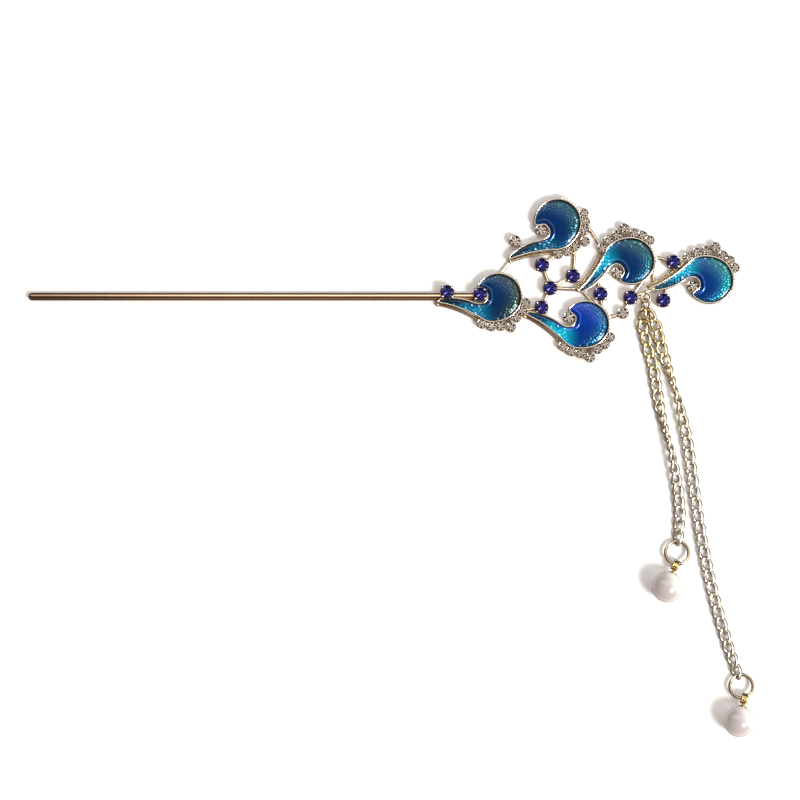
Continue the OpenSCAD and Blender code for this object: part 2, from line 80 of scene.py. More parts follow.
# The sky's colours by share of a turn: 0.5 is straight up, 0.75 level beyond the top of the picture.
# Its bands run askew across the picture.
SKY_SKEW = 0.5
SKY = [
    (0.16, (0.12, 0.08, 0.06)),
    (0.27, (0.26, 0.17, 0.12)),
    (0.33, (0.34, 0.26, 0.2)),
    (0.39, (0.11, 0.07, 0.05)),
    (0.48, (0.09, 0.06, 0.045)),
    (0.52, (0.1, 0.07, 0.055)),
    (0.55, (1.6, 1.57, 1.54)),
    (0.635, (1.8, 1.77, 1.74)),
    (0.655, (1.3, 1.27, 1.24)),
    (0.678, (0.04, 0.025, 0.015)),
    (0.76, (0.14, 0.11, 0.09)),
]
scene = bpy.context.scene
scene.view_settings.view_transform = "Standard"
scene.view_settings.look = "None"


def node(tree, kind, inputs=(), **settings):
    """A shader node with its settings and its inputs, which are values or the sockets they come from."""
    made = tree.nodes.new("ShaderNode" + kind)
    for key, value in settings.items():
        setattr(made, key, value)
    for key, value in dict(inputs).items():
        if isinstance(value, bpy.types.NodeSocket):
            tree.links.new(value, made.inputs[key])
        else:
            made.inputs[key].default_value = value
    return made


def calc(tree, operation, *values):
    """The result of one step of arithmetic on numbers or sockets."""
    return node(tree, "Math", enumerate(values), operation=operation).outputs[0]


def ramp(tree, value, stops):
    """Colours along a value from 0 to 1: stops are (position, colour)."""
    made = node(tree, "ValToRGB", {"Fac": value})
    while len(made.color_ramp.elements) < len(stops):
        made.color_ramp.elements.new(1)
    for element, (place, colour) in zip(made.color_ramp.elements, stops):
        element.position = place
        element.color = (*colour, 1)
    return made.outputs["Color"]


bpy.ops.mesh.primitive_plane_add(size=TABLE_W * MM, location=(0, 0, -PAPER_DROP * MM))
table = bpy.context.object
table.name = "table"
paper = bpy.data.materials.new("paper")
paper.use_nodes = True
tree = paper.node_tree
tree.nodes.clear()
matt = node(tree, "BsdfDiffuse", {"Color": PAPER}).outputs[0]
lift = node(tree, "Emission", {"Color": (1, 1, 1, 1), "Strength": PAPER_LIFT}).outputs[0]
white = node(tree, "AddShader", {0: matt, 1: lift}).outputs[0]
# Painted reflection: to glossy rays the paper glows a dim brown instead of white.
painted_reflection_in_metal = node(tree, "Emission", {"Color": PAPER_PAINTED_IN_METAL, "Strength": 1.0}).outputs[0]
ray = node(tree, "LightPath").outputs["Is Glossy Ray"]
mixed = node(tree, "MixShader", {0: ray, 1: white, 2: painted_reflection_in_metal}).outputs[0]
node(tree, "OutputMaterial", {"Surface": mixed})
table.data.materials.append(paper)

world = bpy.data.worlds.new("room")
world.use_nodes = True
scene.world = world
tree = world.node_tree
tree.nodes.clear()
direction = node(tree, "TexCoord").outputs["Generated"]
split = node(tree, "SeparateXYZ", {0: direction})
far = calc(tree, "MULTIPLY_ADD", split.outputs["X"], SKY_SKEW, split.outputs["Y"])
lean = calc(tree, "ARCTAN2", far, split.outputs["Z"])
lean = calc(tree, "ADD", calc(tree, "DIVIDE", lean, 2 * math.pi), 0.5)
glow = node(tree, "Background", {"Color": ramp(tree, lean, SKY), "Strength": 1.0}).outputs[0]
node(tree, "OutputWorld", {"Surface": glow})

bpy.ops.object.light_add(type="SUN", location=KEY_FROM)
key = bpy.context.object
key.name = "key"
key.data.angle = math.radians(KEY_SPREAD)
key.data.energy = KEY_POWER
key.data.color = KEY_COLOUR
key.rotation_euler = (-key.location).to_track_quat("-Z", "Y").to_euler()

camera_z = VIEW_W * MM * LENS / SENSOR_W
bpy.ops.object.camera_add(location=(VIEW_AT[0] * MM, VIEW_AT[1] * MM, camera_z))
camera = bpy.context.object
camera.data.lens = LENS
camera.data.sensor_width = SENSOR_W
camera.data.clip_start = 0.01
scene.camera = camera

# Pin
# A round rod of gilt brass with a rounded tip, soldered into the rim of the first wave at its notch.
# The gilding is pale and polished in the open, and painted shade turns it warm brown where it is hemmed in.
# On the pin it is browner, and painted shade darkens it toward the tip.
PIN_R = 1.0
PIN_RINGS = (40.0, 80.0)
# The pin's painted shade fades out between these two places along it.
PIN_SHADE_X = (-90.0, -40.0)
SAME_PLACE = 0.001
# The middle of the first wave's head is at HEAD_X, HEAD_Y, and the pin ends PIN_SHORT before it.
HEAD_X = 27.762
HEAD_Y = 43.998
PIN_SHORT = 3.0


def between(tree, value, start, end, most=1.0):
    """How far a value has gone from start to end, as a share from 0 to most."""
    return node(tree, "MapRange", {0: value, 1: start, 2: end, 3: 0.0, 4: most}).outputs[0]


def finish(name, settings):
    """A new material with its nodes and its shader, whose inputs are set by name."""
    made = bpy.data.materials.new(name)
    made.use_nodes = True
    shader = made.node_tree.nodes["Principled BSDF"]
    for key, value in settings.items():
        shader.inputs[key].default_value = value
    return made, made.node_tree, shader


def metal(name, colour, shade, roughness, reach=0.9):
    """Polished metal with painted shade, whose colour turns to its shade colour in corners."""
    made, tree, shader = finish(name, {"Metallic": 1.0, "Roughness": roughness})
    # Painted shade: where the metal is hemmed in, ambient occlusion turns its colour toward the shade
    # colour.
    open_sky = node(tree, "AmbientOcclusion", {"Distance": reach * MM}, samples=8).outputs["AO"]
    tone = ramp(tree, open_sky, [(0.3, shade), (0.85, colour)])
    place = node(tree, "TexCoord").outputs["Object"]
    grain = node(tree, "TexNoise", {"Vector": place, "Scale": 1500.0, "Detail": 3.0}).outputs["Fac"]
    dents = node(tree, "Bump", {"Height": grain, "Strength": 0.25, "Distance": 0.05 * MM}).outputs[0]
    tree.links.new(tone, shader.inputs["Base Color"])
    tree.links.new(dents, shader.inputs["Normal"])
    return made


def wear_and_shade_along(material, axis, start, end, first, last):
    """Tints a metal along an axis, from its first tint at start to its last at end: painted shade on the
    pin, the plating's own tone on the chains.
    """
    tree = material.node_tree
    colour = tree.nodes["Principled BSDF"].inputs["Base Color"]
    along = node(tree, "SeparateXYZ", {0: node(tree, "TexCoord").outputs["Object"]}).outputs[axis]
    tint = ramp(tree, between(tree, along, start * MM, end * MM), [(0.0, first), (1.0, last)])
    tinted = node(tree, "Mix", {"Factor": 1.0, "A": colour.links[0].from_socket, "B": tint},
                  data_type="RGBA", blend_type="MULTIPLY").outputs["Result"]
    tree.links.new(tinted, colour)


gold = metal("gold", (0.96, 0.88, 0.76), (0.42, 0.27, 0.14), roughness=0.16)
pin_gold = metal("pin gold", (0.84, 0.62, 0.42), (0.26, 0.14, 0.07), roughness=0.1)
# Painted shade: the pin's colour is darkened toward its tip.
wear_and_shade_along(pin_gold, "X", *PIN_SHADE_X, (0.42, 0.38, 0.38), (1, 1, 1))


def select(*objects):
    """Selects these and nothing else, and makes the first one active."""
    bpy.ops.object.select_all(action="DESELECT")
    for obj in objects:
        obj.select_set(True)
    bpy.context.view_layer.objects.active = objects[0]


def edit_all(obj):
    """Opens a mesh in edit mode, with all of it selected."""
    select(obj)
    bpy.ops.object.mode_set(mode="EDIT")
    bpy.ops.mesh.select_all(action="SELECT")


def path(points):
    """A curve through places given in millimetres."""
    bpy.ops.curve.primitive_bezier_curve_add()
    line = bpy.context.object
    line.data.splines.clear()
    line.data.dimensions = "3D"
    spline = line.data.splines.new("POLY")
    spline.points.add(len(points) - 1)
    for point, place in zip(spline.points, points):
        point.co = (*[c * MM for c in place], 1)
    return line


def turned(profile, steps=32):
    """A solid of revolution about Z: the profile is (radius, height) in millimetres."""
    line = path([(r, 0, z) for r, z in profile])
    select(line)
    bpy.ops.object.convert(target="MESH")
    solid = bpy.context.object
    screw = solid.modifiers.new("turn", "SCREW")
    screw.steps = screw.render_steps = steps
    screw.use_merge_vertices = True
    screw.merge_threshold = SAME_PLACE * MM
    bpy.ops.object.modifier_apply(modifier="turn")
    edit_all(solid)
    bpy.ops.mesh.remove_doubles(threshold=SAME_PLACE * MM)
    bpy.ops.mesh.normals_make_consistent(inside=False)
    bpy.ops.object.mode_set(mode="OBJECT")
    return solid


def joined(objects):
    """One piece made of several."""
    select(*objects)
    if len(objects) > 1:
        bpy.ops.object.join()
    return bpy.context.object


def put(objects, name, material, slot, *nodes, angle=40):
    """Joins the pieces into one at the origin, and gives it its name, material and place in the part."""
    piece = joined(objects)
    bpy.ops.object.transform_apply(location=True, rotation=True, scale=True)
    bpy.ops.object.shade_smooth_by_angle(angle=math.radians(angle))
    piece.name = piece.data.name = name
    piece.data.materials.clear()
    piece.data.materials.append(material)
    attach(piece, "root")
    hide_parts(*nodes)


pin_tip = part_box("frame")[0].x / MM
pin_end = HEAD_X - PIN_SHORT
tip = [(PIN_R * math.sin(a), PIN_R * (1 - math.cos(a))) for a in np.linspace(0, math.pi / 2, 8)]
shaft = [(PIN_R, along) for along in (*PIN_RINGS, pin_end - pin_tip)]
pin = turned(tip + shaft + [(0, pin_end - pin_tip)], steps=48)
pin.rotation_euler = (0, math.pi / 2, 0)
pin.location = (pin_tip * MM, HEAD_Y * MM, PIN_R * MM)
put([pin], "pin", pin_gold, "gold", "frame")

# Trays of the waves
# Each wave is a flat gilt casting with a round head, a crest and a long tail, hollowed to a tray for
# the enamel inside a raised polished rim. The table gives each head's place in head radii from the
# first one, the tail's turn and the crest's hand.
WAVES = {
    "pin": (0.0, 0.0, 184.8, 1),
    "top": (2.65, 3.32, 217.2, 1),
    "mid": (5.94, 1.59, 209.7, -1),
    "end": (9.47, 0.74, 188.1, -1),
    "low": (3.91, -1.24, 170.0, 1),
}
WAVE_R = 5.8
# A head's edge runs clockwise from HEAD_FROM by HEAD_SWEEP degrees, and the curves of EDGE follow it.
HEAD_FROM = -37
HEAD_SWEEP = 203
HEAD_STEPS = 56
EDGE = [
    [(-0.5, 0.87), (-0.11, 1.09), (0.47, 1.2), (0.83, 0.85)],
    [(0.83, 0.85), (1.23, 0.56), (1.95, 0.18), (2.67, 0)],
    [(2.66, -0.06), (2.17, -0.13), (1.64, -0.04), (1.19, 0.18)],
    [(1.19, 0.18), (0.83, 0.4), (0.34, 0.29), (0.47, -0.25)],
    [(0.47, -0.25), (0.52, -0.4), (0.9, -0.42), (0.8, -0.6)],
]
EDGE_GAP = 0.008
BASE_Z = 0.5
FLOOR_Z = 1.1
RIM_Z = 2.5
RIM_W = 0.4
RIM_ROUND = 0.14


def spray(x, y):
    """A place in millimetres, from head radii off the first head."""
    return Vector((HEAD_X + WAVE_R * x, HEAD_Y + WAVE_R * y))


def polar(r, degrees):
    """A place at a radius and an angle."""
    return Vector((r * math.cos(math.radians(degrees)), r * math.sin(math.radians(degrees))))


def on_wave(name, x, y):
    """A place in millimetres, from head radii in the wave's own frame."""
    at_x, at_y, turn, hand = WAVES[name]
    along = polar(WAVE_R, turn)
    return spray(at_x, at_y) + along * x + Vector((-along.y, along.x)) * y * hand


def bezier(curve, steps=18):
    """Points along a curve through its control points, without its first."""
    points = []
    for i in range(1, steps + 1):
        t = i / steps
        weights = ((1 - t) ** 3, 3 * (1 - t) ** 2 * t, 3 * (1 - t) * t * t, t ** 3)
        points.append(sum((Vector(p) * w for p, w in zip(curve, weights)), Vector((0, 0))))
    return points


def wave_edge():
    """Points round a wave in head radii: clockwise round the head, then along the curves."""
    points = [polar(1, HEAD_FROM - i * HEAD_SWEEP / HEAD_STEPS) for i in range(HEAD_STEPS + 1)]
    for curve in EDGE:
        points += bezier(curve)
    return [p for p, q in zip(points, points[1:] + points[:1]) if (p - q).length > EDGE_GAP]


def grown(points, width):
    """A clockwise outline moved outward, with its corners mitred as far as twice the width."""
    moved = []
    for before, here, after in zip(points[-1:] + points[:-1], points, points[1:] + points[:1]):
        a = (here - before).normalized()
        b = (after - here).normalized()
        mean = (Vector((-a.y, a.x)) + Vector((-b.y, b.x))).normalized()
        moved.append(here + mean * width / max(mean.dot(Vector((-a.y, a.x))), 0.5))
    return moved


def plate(points, z):
    """A flat face with this outline, in millimetres."""
    bpy.ops.mesh.primitive_circle_add(vertices=len(points), radius=1, fill_type="NGON")
    face = bpy.context.object
    face.data.vertices.foreach_set("co", [c * MM for p in points for c in (p[0], p[1], z)])
    return face


def bevelled(obj, width, segments=2, angle=35):
    """Rounds the edges that are sharper than an angle."""
    select(obj)
    bevel = obj.modifiers.new("bevel", "BEVEL")
    bevel.width = width * MM
    bevel.segments = segments
    bevel.limit_method = "ANGLE"
    bevel.angle_limit = math.radians(angle)
    bpy.ops.object.modifier_apply(modifier="bevel")
    return obj


def pick(obj, first, last):
    """Selects the vertices in a range of numbers and the faces between them, and enters edit mode."""
    for group in (obj.data.polygons, obj.data.edges):
        group.foreach_set("select", [False] * len(group))
    obj.data.vertices.foreach_set("select", [first <= i < last for i in range(len(obj.data.vertices))])
    bpy.ops.object.mode_set(mode="EDIT")
    bpy.ops.mesh.select_mode(type="VERT")


def tray(name):
    """One wave's tray: the top of its rim first, then the hollow down from it, and the outer wall."""
    inner = wave_edge()
    outer = [on_wave(name, *p) for p in grown(inner, RIM_W / WAVE_R)]
    inner = [on_wave(name, *p) for p in inner]
    count = len(outer)
    made = plate(outer, RIM_Z)
    select(made)
    pick(made, 0, count)
    bpy.ops.mesh.extrude_region_move()
    bpy.ops.object.mode_set(mode="OBJECT")
    nearest = KDTree(count)
    for i, p in enumerate(outer):
        nearest.insert((p.x * MM, p.y * MM, 0), i)
    nearest.balance()
    for vertex in list(made.data.vertices)[count:]:
        to = inner[nearest.find((vertex.co.x, vertex.co.y, 0))[1]]
        vertex.co = (to.x * MM, to.y * MM, RIM_Z * MM)
    pick(made, 0, count)
    bpy.ops.mesh.delete(type="ONLY_FACE")
    bpy.ops.object.mode_set(mode="OBJECT")
    pick(made, count, 2 * count)
    down = (0, 0, (FLOOR_Z - RIM_Z) * MM)
    bpy.ops.mesh.extrude_region_move(TRANSFORM_OT_translate={"value": down})
    bpy.ops.mesh.select_mode(type="EDGE")
    bpy.ops.mesh.select_all(action="DESELECT")
    bpy.ops.mesh.select_non_manifold()
    down = (0, 0, (BASE_Z - RIM_Z) * MM)
    bpy.ops.mesh.extrude_edges_move(TRANSFORM_OT_translate={"value": down})
    bpy.ops.mesh.edge_face_add()
    bpy.ops.mesh.select_all(action="SELECT")
    bpy.ops.mesh.normals_make_consistent(inside=False)
    bpy.ops.mesh.select_mode(type="VERT")
    bpy.ops.object.mode_set(mode="OBJECT")
    return bevelled(made, RIM_ROUND, segments=3)


put([tray(name) for name in WAVES], "wave_trays", gold, "gold", "frame")

# Beaded backs
# Round the back of each head runs a raised crescent with a row of small round grains, cast in one
# with the tray. Their gilding is painted the palest of all, as painted light, and its painted shade in
# corners is the lightest; it has a satin shine.
GRAINS = 8
GRAIN_R = 0.35
GRAIN_Z = 2.36
GRAIN_OUT = 0.7 * GRAIN_R
GRAIN_FROM = 172
GRAIN_SWEEP = 52
# The crescent runs between two angles, and its outer arc is moved out toward BACK_MID.
BACK_FROM = 166
BACK_TO = 230
BACK_MID = 198
BACK_IN = 0.2
BACK_OUT = 2 * GRAIN_R * 0.8
BACK_ROUND = 0.12


def ball(place, z, r, segments=16):
    """A round bead with its middle at a place and height in millimetres."""
    bpy.ops.mesh.primitive_uv_sphere_add(segments=segments, ring_count=segments // 2, radius=r * MM,
                                         location=(place[0] * MM, place[1] * MM, z * MM))
    return bpy.context.object


def raised(face, height):
    """A flat face made into a plate of that height."""
    edit_all(face)
    bpy.ops.mesh.extrude_region_move(TRANSFORM_OT_translate={"value": (0, 0, height * MM)})
    bpy.ops.mesh.select_all(action="SELECT")
    bpy.ops.mesh.normals_make_consistent(inside=False)
    bpy.ops.object.mode_set(mode="OBJECT")
    return face


# Painted light: the backs get a paler copy of the gold, with a lighter painted shade in corners.
painted_lit_back_gold = metal("back gold", (1.0, 0.97, 0.92), (0.9, 0.8, 0.66), roughness=0.34)
backs = []
for name in WAVES:
    inside = [polar(WAVE_R + BACK_IN, a) for a in range(BACK_FROM, BACK_TO + 1, 4)]
    outside = [polar(BACK_OUT, BACK_MID) + polar(WAVE_R + RIM_W, a)
               for a in range(BACK_TO + 1, BACK_FROM - 1, -3)]
    crescent = [on_wave(name, *(p / WAVE_R)) for p in inside + outside]
    backs.append(bevelled(raised(plate(crescent, BASE_Z), RIM_Z - BASE_Z), BACK_ROUND))
    for i in range(GRAINS):
        angle = GRAIN_FROM + i * GRAIN_SWEEP / (GRAINS - 1)
        at = on_wave(name, *(polar(WAVE_R + RIM_W + GRAIN_OUT, angle) / WAVE_R))
        backs.append(ball(at, GRAIN_Z, GRAIN_R))
        bpy.ops.mesh.primitive_cylinder_add(
            vertices=16, radius=GRAIN_R * MM, depth=(GRAIN_Z - BASE_Z) * MM,
            location=(at.x * MM, at.y * MM, (GRAIN_Z + BASE_Z) / 2 * MM))
        backs.append(bpy.context.object)
put(backs, "beaded_backs", painted_lit_back_gold, "gold", "frame")

# Wires along the tails
# An arc of round wire is soldered along the outside of each tail and ends in a bead.
# Two of the tails carry a rope of two twisted gold wires on it.
TAIL_ARC = [(0.93, 1.02), (1.7, 0.52), (2.74, 0.11)]
TAIL_STEPS = 60
TAIL_WIRE = 0.4
TAIL_BEAD = 0.56
TAIL_BEAD_Z = 0.62
ROPED = ("mid", "end")
ROPE_FROM = 10
ROPE_R = 0.58
ROPE_Z = 1.0
ROPE_TURNS = 9
STRAND_SWING = 0.55


def wire(points, radius, sides=3):
    """A round wire through places given in millimetres."""
    line = path(points)
    line.data.bevel_depth = radius * MM
    line.data.bevel_resolution = sides
    line.data.use_fill_caps = True
    select(line)
    bpy.ops.object.convert(target="MESH")
    return bpy.context.object


def arc(a, b, c, count):
    """Places on the circle through three places, from the first to the last."""
    ax, ay, bx, by, cx, cy = *a, *b, *c
    a_far, b_far, c_far = ax * ax + ay * ay, bx * bx + by * by, cx * cx + cy * cy
    d = 2 * (ax * (by - cy) + bx * (cy - ay) + cx * (ay - by))
    x = (a_far * (by - cy) + b_far * (cy - ay) + c_far * (ay - by)) / d
    y = (a_far * (cx - bx) + b_far * (ax - cx) + c_far * (bx - ax)) / d
    centre = Vector((x, y))
    start = math.degrees(math.atan2(ay - y, ax - x))
    turn = (math.degrees(math.atan2(cy - y, cx - x)) - start + 180) % 360 - 180
    r = (Vector(a) - centre).length
    return [centre + polar(r, start + turn * i / count) for i in range(count + 1)]


def rope(places, radius, z, turns):
    """Two strands twisted round a line of places, each of half the rope's radius."""
    strands = []
    for strand in (0, 180):
        points = []
        for i, p in enumerate(places):
            ahead = (places[min(i + 1, len(places) - 1)] - places[max(i - 1, 0)]).normalized()
            swing = polar(radius * STRAND_SWING, strand + 360 * turns * i / (len(places) - 1))
            points.append((p.x - ahead.y * swing.x, p.y + ahead.x * swing.x, z + swing.y))
        strands.append(wire(points, radius / 2))
    return strands


tail_gold = metal("tail gold", (0.92, 0.8, 0.58), (0.5, 0.34, 0.16), roughness=0.24)
plain_tails = []
roped_tails = []
for name in WAVES:
    places = [on_wave(name, *p) for p in arc(*TAIL_ARC, TAIL_STEPS)]
    tail_wire = wire([(p.x, p.y, TAIL_WIRE) for p in places[::3]], TAIL_WIRE)
    bead = ball(places[-1], TAIL_BEAD_Z, TAIL_BEAD)
    if name in ROPED:
        roped_tails += [tail_wire] + rope(places[ROPE_FROM:], ROPE_R, ROPE_Z, ROPE_TURNS)
        plain_tails.append(bead)
    else:
        plain_tails += [tail_wire, bead]
put(plain_tails, "tail_wires", tail_gold, "gold", "frame")
put(roped_tails, "tail_ropes", tail_gold, "gold", "frame")

# Cups of the crest stones
# Seven small gilt cups are soldered side by side along each crest; the fourth stands out on a short
# bar. Each has four little claws that end in beads and hold its stone.
TRIMS = 7
TRIM_OUT = 3
TRIM_CUP = 1.3
TRIM_LAP = 0.25
TRIM_TUCK = 0.3
CREST_MID = 108
# From SWELL_FROM degrees toward the tail the crest stands farther out, by SWELL radii in SWELL_OVER.
SWELL = 0.17
SWELL_FROM = 120
SWELL_OVER = 66
CREST_BAR = [(1.03, -0.1), (1.45, -0.1), (1.45, 0.1), (1.03, 0.1)]
FOOT_ROUND = 0.08
LIP_ROUND = 0.1
CLAWS = 4
# A claw bends in twice, at these depths under its tip, and the first time by a share of its lean.
CLAW_BEND_LOW = 0.35
CLAW_BEND_HIGH = 0.12
CLAW_FIRST = 0.3


def copies(model, places, turns=None):
    """Copies of a model set down at places in millimetres; the model itself is deleted."""
    made = []
    for i, place in enumerate(places):
        twin = model.copy()
        twin.data = model.data.copy()
        twin.location = (place[0] * MM, place[1] * MM, place[2] * MM if len(place) > 2 else 0)
        twin.rotation_euler = (0, 0, turns[i] if turns else 0)
        bpy.context.collection.objects.link(twin)
        made.append(twin)
    bpy.data.objects.remove(model)
    return made


def trim_places():
    """The crest stones in head radii: each a cup's width on from the last, round a crest that swells."""
    step = math.degrees((2 * TRIM_CUP - TRIM_LAP) / (WAVE_R + RIM_W + TRIM_CUP))
    places = []
    for i in range(TRIMS):
        angle = CREST_MID + (i - TRIM_OUT) * step
        swell = 1 + SWELL * max(0.0, SWELL_FROM - angle) / SWELL_OVER
        r = WAVE_R * swell + RIM_W + TRIM_CUP - TRIM_TUCK + (TRIM_CUP if i == TRIM_OUT else 0)
        places.append(polar(r / WAVE_R, angle))
    return places


def cup(radius, seat_r, lip_z):
    """A round cup with a rounded lip and a hollow for its stone."""
    wall = [(0, BASE_Z), (radius - FOOT_ROUND, BASE_Z), (radius, BASE_Z + FOOT_ROUND),
            (radius, lip_z - LIP_ROUND)]
    lip = [(radius - 0.05, lip_z - 0.02), ((radius + seat_r) / 2, lip_z), (seat_r + 0.02, lip_z - 0.03)]
    hollow = [(seat_r, lip_z - LIP_ROUND), (seat_r, FLOOR_Z), (0, FLOOR_Z)]
    return turned(wall + lip + hollow)


def claws(r, lean, foot_z, tip_z, thick, bead, first=45.0):
    """Claws round a stone: short wires that lean in over it, each with a bead at its end."""
    made = []
    for i in range(CLAWS):
        angle = first + i * 360 / CLAWS
        foot, bend, tip = polar(r, angle), polar(r - lean * CLAW_FIRST, angle), polar(r - lean, angle)
        line = [(*foot, foot_z), (*foot, tip_z - CLAW_BEND_LOW),
                (*bend, tip_z - CLAW_BEND_HIGH), (*tip, tip_z)]
        made.append(wire(line, thick, sides=2))
        made.append(ball(tip, tip_z, bead, segments=12))
    return made


cup_gold = metal("cup gold", (0.8, 0.7, 0.56), (0.17, 0.11, 0.06), roughness=0.18, reach=0.5)
trim_cup = joined([cup(TRIM_CUP, seat_r=1.11, lip_z=2.04)]
                  + claws(r=1.2, lean=0.22, foot_z=1.2, tip_z=2.27, thick=0.12, bead=0.2))
spots = []
turns = []
for name, (_, _, turn, hand) in WAVES.items():
    for place in trim_places():
        spots.append(on_wave(name, *place))
        turns.append(math.radians(turn + hand * math.degrees(math.atan2(place.y, place.x))))
crest_cups = copies(trim_cup, spots, turns)
for name in WAVES:
    outline = [on_wave(name, *(polar(1, CREST_MID) * out + polar(1, CREST_MID + 90) * side))
               for out, side in CREST_BAR]
    crest_cups.append(raised(plate(outline, BASE_Z), FLOOR_Z - BASE_Z))
put(crest_cups, "crest_cups", cup_gold, "gold", "frame")

# Settings of the single stones
# Clear stones sit in plain gilt cups with small claws, blue ones on low cups between four bent claws
# of wire. All are soldered to the waves and stems, and two of the blue ones stand over the pin.
NOTCH = (0.8, -0.17)
TAILS = {
    "pin": (2.26, -0.39),
    "top": (2.02, -0.49),
    "mid": (1.92, -0.6),
    "end": (2.19, -0.6),
    "low": (2.08, -0.4),
}
BLUE = {
    "blue_notch": on_wave("pin", *NOTCH),
    "blue_pin": on_wave("pin", *TAILS["pin"]),
    "blue_upper": spray(1.96, 1.42),
    "blue_fork": spray(3.34, 0.92),
    "blue_branch": spray(2.32, 0.38),
    "blue_low_tail": on_wave("low", *TAILS["low"]),
    "blue_mid_tail": on_wave("mid", *TAILS["mid"]),
    "blue_eye": spray(5.92, -0.04),
    "blue_end_tail": on_wave("end", *TAILS["end"]),
    "blue_bridge": spray(7.83, 1.55),
}
CLEAR = {
    "clear_top_notch": on_wave("top", *NOTCH),
    "clear_top_tail": on_wave("top", *TAILS["top"]),
    "clear_mid_notch": on_wave("mid", *NOTCH),
    "clear_end_notch": on_wave("end", *NOTCH),
    "clear_low_notch": on_wave("low", *NOTCH),
    "clear_low_stem": spray(5.58, -0.74),
}
OVER_PIN = 0.7
OVER_PIN_STONES = ("blue_notch", "blue_pin")
CLEAR_CUP = 1.5
BLUE_CUP = 1.875
clear_cup = joined([cup(CLEAR_CUP, seat_r=1.31, lip_z=2.2)]
                   + claws(r=1.4, lean=0.26, foot_z=1.4, tip_z=2.45, thick=0.14, bead=0.24, first=20))
put(copies(clear_cup, list(CLEAR.values())), "clear_cups", cup_gold, "gold", "frame")

blue_cup = joined([cup(BLUE_CUP, seat_r=1.3, lip_z=2.05)]
                  + claws(r=1.95, lean=0.3, foot_z=BASE_Z, tip_z=2.98, thick=0.22, bead=0.3))
blue_spots = [(*at, OVER_PIN if name in OVER_PIN_STONES else 0) for name, at in BLUE.items()]
put(copies(blue_cup, blue_spots), "blue_settings", gold, "gold", "frame")

# Stems
# Straight stems of round gilt wire join the waves and the settings into one spray.
# Each ends in what it is soldered to, which is a setting, a tray, a tail or a crest cup.
STEM_R = 0.45
CREST = trim_places()


def on_head(name, degrees):
    """A place on the edge of a wave's head."""
    return on_wave(name, *polar(1, degrees))


def on_crest(name, number):
    """The place of one of a wave's crest stones, counted from 0."""
    return on_wave(name, *CREST[number])


STEMS = [
    (BLUE["blue_upper"], on_crest("top", 0)),
    (BLUE["blue_upper"], BLUE["blue_branch"]),
    (BLUE["blue_fork"], BLUE["blue_branch"]),
    (BLUE["blue_fork"], on_crest("top", 2)),
    (BLUE["blue_branch"], BLUE["blue_low_tail"]),
    (BLUE["blue_branch"], on_wave("mid", 2.74, 0.11)),
    (BLUE["blue_low_tail"], on_crest("pin", 5)),
    (BLUE["blue_low_tail"], on_wave("low", 2.1, 0.02)),
    (on_wave("top", 2.74, 0.11), on_head("pin", 262)),
    (on_wave("mid", 2.6, 0), on_head("low", 250)),
    (BLUE["blue_mid_tail"], on_wave("mid", 1.7, 0.1)),
    (BLUE["blue_mid_tail"], on_head("low", 232)),
    (BLUE["blue_eye"], on_head("mid", 240)),
    (BLUE["blue_eye"], CLEAR["clear_low_stem"]),
    (CLEAR["clear_low_stem"], on_head("low", 205)),
    (BLUE["blue_eye"], spray(6.6, 0.17)),
    (BLUE["blue_bridge"], on_head("mid", 196)),
    (BLUE["blue_bridge"], on_wave("end", 1.6, 0.3)),
    (BLUE["blue_end_tail"], on_wave("end", 1.95, 0)),
    (CLEAR["clear_top_tail"], on_wave("top", 1.9, 0)),
    (on_head("mid", 228), on_wave("end", 2.5, 0)),
    (on_wave("low", 2.6, 0), on_crest("pin", 6)),
    (on_crest("top", 5), on_crest("mid", 0)),
]
stem_gold = metal("stem gold", (0.97, 0.86, 0.66), (0.55, 0.38, 0.2), roughness=0.2)
stems = [wire([(*p, STEM_R), (*q, STEM_R)], STEM_R) for p, q in STEMS]
put(stems, "stems", stem_gold, "gold", "frame")

# Eye
# A ring of thick gilt wire stands over the stems and carries the chains. Two short arms hold it, one
# from the last wave's tail and one from a setting, and a lump of solder covers the first one's joint.
EYE_AT = spray(6.6, -0.03)
EYE_Z = 1.82
EYE_R = 1.15
EYE_WIRE = 0.36
ARM_TUCK = 0.3
SOLDER_R = 0.62
SOLDER_OFF = (0.1, 0.25)
bpy.ops.mesh.primitive_torus_add(
    major_radius=EYE_R * MM, minor_radius=EYE_WIRE * MM, major_segments=48, minor_segments=16,
    location=(EYE_AT.x * MM, EYE_AT.y * MM, EYE_Z * MM))
eye = [bpy.context.object]
above = EYE_AT + Vector((0, EYE_R))
beside = BLUE["blue_eye"] + Vector((BLUE_CUP - ARM_TUCK, 0))
eye.append(wire([(*on_wave("end", 2.5, 0), EYE_Z), (*above, EYE_Z)], EYE_WIRE))
eye.append(wire([(*beside, EYE_Z), (EYE_AT.x - EYE_R, EYE_AT.y, EYE_Z)], EYE_WIRE))
eye.append(ball(above + Vector(SOLDER_OFF), EYE_Z, SOLDER_R))
put(eye, "eye", tail_gold, "gold", "frame")

# Enamel
# Glass enamel is fired into each tray: a smooth cushion over dimpled metal, sunk at the rim and with
# a low ridge round the notch. It is royal blue at the notch, teal at the back of the head, bright cyan
# along the outside of the tail, partly its own tone and partly a painted highlight, and dark at its tip.
# Painted shade darkens it along the rim at the back of the head, and pale specks of painted highlight
# glitter in rings and down the tail.
VOXEL = 0.13
# Heights in the part's enamel: the open face, the end of its shoulder, and a stretch of its walls.
FACE_Z = 2.17
SHOULDER_Z = 2.2
WALL_Z = (1.4, 2.1)
EDGE_DROP = 0.26
EDGE_REACH = 0.45
